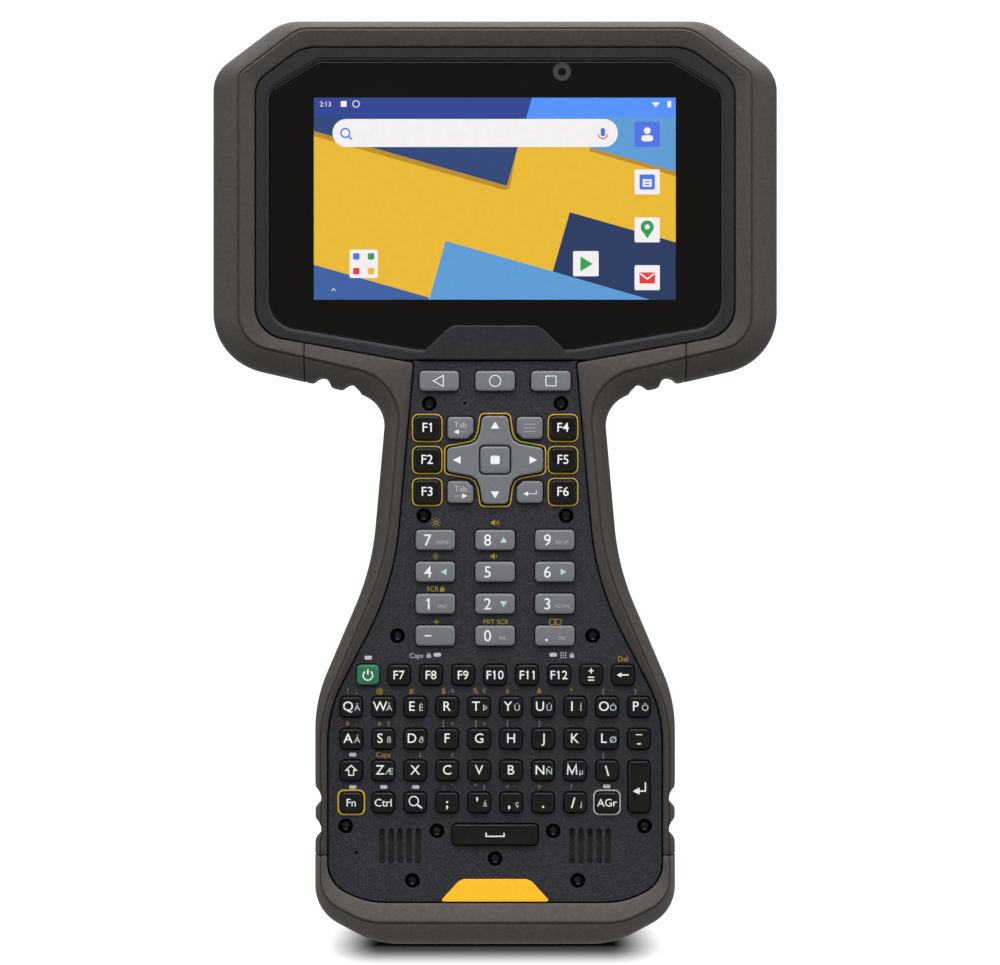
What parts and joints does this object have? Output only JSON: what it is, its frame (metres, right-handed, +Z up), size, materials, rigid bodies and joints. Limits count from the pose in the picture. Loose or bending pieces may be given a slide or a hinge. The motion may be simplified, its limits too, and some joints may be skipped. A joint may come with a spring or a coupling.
{
  "type": "handheld data collector",
  "caption": "Rugged handheld field controller: landscape touch screen on a narrow neck over a full keypad, rubber bumpers, rear hand strap, battery and pole plate.",
  "frame": {"origin": "middle of the bounding box's underside, under the flat foot of the lower end bumper", "axes": "+Z up the unit from the keypad to the screen, screen and keys face -Y, +X to the user's right"},
  "size_m": [0.1736, 0.048, 0.284],
  "materials": {
    "rubber": "moulded grey-brown overmould rubber with a fine matt texture",
    "shell": "dark moulded plastic, fine spark-eroded texture",
    "plate": "near-black blue-grey plastic with a fine speckle",
    "yellow": "satin yellow plastic",
    "glass": "black-bordered cover glass, polished",
    "display": "lit display behind the cover glass",
    "key_grey": "satin grey key caps",
    "key_black": "glossy black key caps",
    "key_green": "satin green key cap",
    "print_white": "white legend print",
    "silicone": "grey silicone rubber",
    "board": "green circuit board",
    "lens": "black lens barrel with a polished window",
    "speaker": "black speaker module",
    "webbing": "woven black nylon webbing",
    "steel": "brushed stainless plate",
    "dark_steel": "blackened steel screws"
  },
  "bodies": {
    "casing": {"front_housing": "shell", "rear_housing": "shell", "head_bumper": "rubber", "left_grip": "rubber", "right_grip": "rubber", "end_bumper": "rubber", "touch_glass": "glass", "display_panel": "display", "faceplate": "plate", "foot_badge": "yellow", "faceplate_screws": "dark_steel", "keymat": "silicone", "keypad_board": "board", "main_board": "board", "speaker_left": "speaker", "speaker_right": "speaker", "front_camera": "lens", "rear_camera": "lens", "module_cover": "shell", "mount_plate": "steel", "hand_strap": "webbing"},
    "key_back": {"key_back": "key_grey"},
    "key_home": {"key_home": "key_grey"},
    "key_recent": {"key_recent": "key_grey"},
    "key_tab_back": {"key_tab_back": "key_grey"},
    "key_menu": {"key_menu": "key_grey"},
    "key_tab_forward": {"key_tab_forward": "key_grey"},
    "key_enter_small": {"key_enter_small": "key_grey"},
    "key_dpad_centre": {"key_dpad_centre": "key_grey"},
    "key_7": {"key_7": "key_grey"},
    "key_8": {"key_8": "key_grey"},
    "key_9": {"key_9": "key_grey"},
    "key_4": {"key_4": "key_grey"},
    "key_5": {"key_5": "key_grey"},
    "key_6": {"key_6": "key_grey"},
    "key_1": {"key_1": "key_grey"},
    "key_2": {"key_2": "key_grey"},
    "key_3": {"key_3": "key_grey"},
    "key_minus": {"key_minus": "key_grey"},
    "key_0": {"key_0": "key_grey"},
    "key_point": {"key_point": "key_grey"},
    "key_f1": {"key_f1": "key_black"},
    "key_f2": {"key_f2": "key_black"},
    "key_f3": {"key_f3": "key_black"},
    "key_f4": {"key_f4": "key_black"},
    "key_f5": {"key_f5": "key_black"},
    "key_f6": {"key_f6": "key_black"},
    "keys_function_row": {"keys_function_row": "key_black"},
    "keys_letter_row_top": {"keys_letter_row_top": "key_black"},
    "keys_letter_row_middle": {"keys_letter_row_middle": "key_black"},
    "keys_letter_row_bottom": {"keys_letter_row_bottom": "key_black"},
    "keys_modifier_row": {"keys_modifier_row": "key_black"},
    "key_enter": {"key_enter": "key_black"},
    "key_space": {"key_space": "key_black"},
    "key_power": {"key_power": "key_green"},
    "dpad_carrier": {"dpad_carrier": "silicone"},
    "dpad": {"dpad": "key_grey"},
    "battery_pack": {"battery_pack": "shell"},
    "battery_latch": {"battery_latch": "yellow"},
    "port_door": {"port_door": "rubber"}
  },
  "joints": [
    {"name": "key_back_press", "type": "slide", "parent": "casing", "child": "key_back", "axis": [0, 1, 0], "range_m": [0, 0.0008], "stiffness_N_per_m": 600},
    {"name": "key_home_press", "type": "slide", "parent": "casing", "child": "key_home", "axis": [0, 1, 0], "range_m": [0, 0.0008], "stiffness_N_per_m": 600},
    {"name": "key_recent_press", "type": "slide", "parent": "casing", "child": "key_recent", "axis": [0, 1, 0], "range_m": [0, 0.0008], "stiffness_N_per_m": 600},
    {"name": "key_tab_back_press", "type": "slide", "parent": "casing", "child": "key_tab_back", "axis": [0, 1, 0], "range_m": [0, 0.0008], "stiffness_N_per_m": 600},
    {"name": "key_menu_press", "type": "slide", "parent": "casing", "child": "key_menu", "axis": [0, 1, 0], "range_m": [0, 0.0008], "stiffness_N_per_m": 600},
    {"name": "key_tab_forward_press", "type": "slide", "parent": "casing", "child": "key_tab_forward", "axis": [0, 1, 0], "range_m": [0, 0.0008], "stiffness_N_per_m": 600},
    {"name": "key_enter_small_press", "type": "slide", "parent": "casing", "child": "key_enter_small", "axis": [0, 1, 0], "range_m": [0, 0.0008], "stiffness_N_per_m": 600},
    {"name": "key_dpad_centre_press", "type": "slide", "parent": "casing", "child": "key_dpad_centre", "axis": [0, 1, 0], "range_m": [0, 0.0008], "stiffness_N_per_m": 600},
    {"name": "key_7_press", "type": "slide", "parent": "casing", "child": "key_7", "axis": [0, 1, 0], "range_m": [0, 0.0008], "stiffness_N_per_m": 600},
    {"name": "key_8_press", "type": "slide", "parent": "casing", "child": "key_8", "axis": [0, 1, 0], "range_m": [0, 0.0008], "stiffness_N_per_m": 600},
    {"name": "key_9_press", "type": "slide", "parent": "casing", "child": "key_9", "axis": [0, 1, 0], "range_m": [0, 0.0008], "stiffness_N_per_m": 600},
    {"name": "key_4_press", "type": "slide", "parent": "casing", "child": "key_4", "axis": [0, 1, 0], "range_m": [0, 0.0008], "stiffness_N_per_m": 600},
    {"name": "key_5_press", "type": "slide", "parent": "casing", "child": "key_5", "axis": [0, 1, 0], "range_m": [0, 0.0008], "stiffness_N_per_m": 600},
    {"name": "key_6_press", "type": "slide", "parent": "casing", "child": "key_6", "axis": [0, 1, 0], "range_m": [0, 0.0008], "stiffness_N_per_m": 600},
    {"name": "key_1_press", "type": "slide", "parent": "casing", "child": "key_1", "axis": [0, 1, 0], "range_m": [0, 0.0008], "stiffness_N_per_m": 600},
    {"name": "key_2_press", "type": "slide", "parent": "casing", "child": "key_2", "axis": [0, 1, 0], "range_m": [0, 0.0008], "stiffness_N_per_m": 600},
    {"name": "key_3_press", "type": "slide", "parent": "casing", "child": "key_3", "axis": [0, 1, 0], "range_m": [0, 0.0008], "stiffness_N_per_m": 600},
    {"name": "key_minus_press", "type": "slide", "parent": "casing", "child": "key_minus", "axis": [0, 1, 0], "range_m": [0, 0.0008], "stiffness_N_per_m": 600},
    {"name": "key_0_press", "type": "slide", "parent": "casing", "child": "key_0", "axis": [0, 1, 0], "range_m": [0, 0.0008], "stiffness_N_per_m": 600},
    {"name": "key_point_press", "type": "slide", "parent": "casing", "child": "key_point", "axis": [0, 1, 0], "range_m": [0, 0.0008], "stiffness_N_per_m": 600},
    {"name": "key_f1_press", "type": "slide", "parent": "casing", "child": "key_f1", "axis": [0, 1, 0], "range_m": [0, 0.0008], "stiffness_N_per_m": 600},
    {"name": "key_f2_press", "type": "slide", "parent": "casing", "child": "key_f2", "axis": [0, 1, 0], "range_m": [0, 0.0008], "stiffness_N_per_m": 600},
    {"name": "key_f3_press", "type": "slide", "parent": "casing", "child": "key_f3", "axis": [0, 1, 0], "range_m": [0, 0.0008], "stiffness_N_per_m": 600},
    {"name": "key_f4_press", "type": "slide", "parent": "casing", "child": "key_f4", "axis": [0, 1, 0], "range_m": [0, 0.0008], "stiffness_N_per_m": 600},
    {"name": "key_f5_press", "type": "slide", "parent": "casing", "child": "key_f5", "axis": [0, 1, 0], "range_m": [0, 0.0008], "stiffness_N_per_m": 600},
    {"name": "key_f6_press", "type": "slide", "parent": "casing", "child": "key_f6", "axis": [0, 1, 0], "range_m": [0, 0.0008], "stiffness_N_per_m": 600},
    {"name": "keys_function_row_press", "type": "slide", "parent": "casing", "child": "keys_function_row", "axis": [0, 1, 0], "range_m": [0, 0.0008], "stiffness_N_per_m": 600},
    {"name": "keys_letter_row_top_press", "type": "slide", "parent": "casing", "child": "keys_letter_row_top", "axis": [0, 1, 0], "range_m": [0, 0.0008], "stiffness_N_per_m": 600},
    {"name": "keys_letter_row_middle_press", "type": "slide", "parent": "casing", "child": "keys_letter_row_middle", "axis": [0, 1, 0], "range_m": [0, 0.0008], "stiffness_N_per_m": 600},
    {"name": "keys_letter_row_bottom_press", "type": "slide", "parent": "casing", "child": "keys_letter_row_bottom", "axis": [0, 1, 0], "range_m": [0, 0.0008], "stiffness_N_per_m": 600},
    {"name": "keys_modifier_row_press", "type": "slide", "parent": "casing", "child": "keys_modifier_row", "axis": [0, 1, 0], "range_m": [0, 0.0008], "stiffness_N_per_m": 600},
    {"name": "key_enter_press", "type": "slide", "parent": "casing", "child": "key_enter", "axis": [0, 1, 0], "range_m": [0, 0.0008], "stiffness_N_per_m": 600},
    {"name": "key_space_press", "type": "slide", "parent": "casing", "child": "key_space", "axis": [0, 1, 0], "range_m": [0, 0.0008], "stiffness_N_per_m": 600},
    {"name": "key_power_press", "type": "slide", "parent": "casing", "child": "key_power", "axis": [0, 1, 0], "range_m": [0, 0.0008], "stiffness_N_per_m": 600},
    {"name": "dpad_tilt_up_down", "type": "hinge", "parent": "casing", "child": "dpad_carrier", "pos_m": [0, -0.019, 0.149], "axis": [1, 0, 0], "range_deg": [-3, 3], "stiffness_Nm_per_rad": 0.3},
    {"name": "dpad_tilt_left_right", "type": "hinge", "parent": "dpad_carrier", "child": "dpad", "pos_m": [0, -0.019, 0.149], "axis": [0, 0, 1], "range_deg": [-3, 3], "stiffness_Nm_per_rad": 0.3},
    {"name": "battery_latch_slide", "type": "slide", "parent": "casing", "child": "battery_latch", "axis": [0, 0, 1], "range_m": [0, 0.003], "stiffness_N_per_m": 500},
    {"name": "battery_pack_withdraw", "type": "slide", "parent": "casing", "child": "battery_pack", "axis": [0, 1, 0], "range_m": [0, 0.025]},
    {"name": "port_door_swing", "type": "hinge", "parent": "casing", "child": "port_door", "pos_m": [0.0554, -0.0015, 0.059], "axis": [0, 0, 1], "range_deg": [0, 100]}
  ]
}
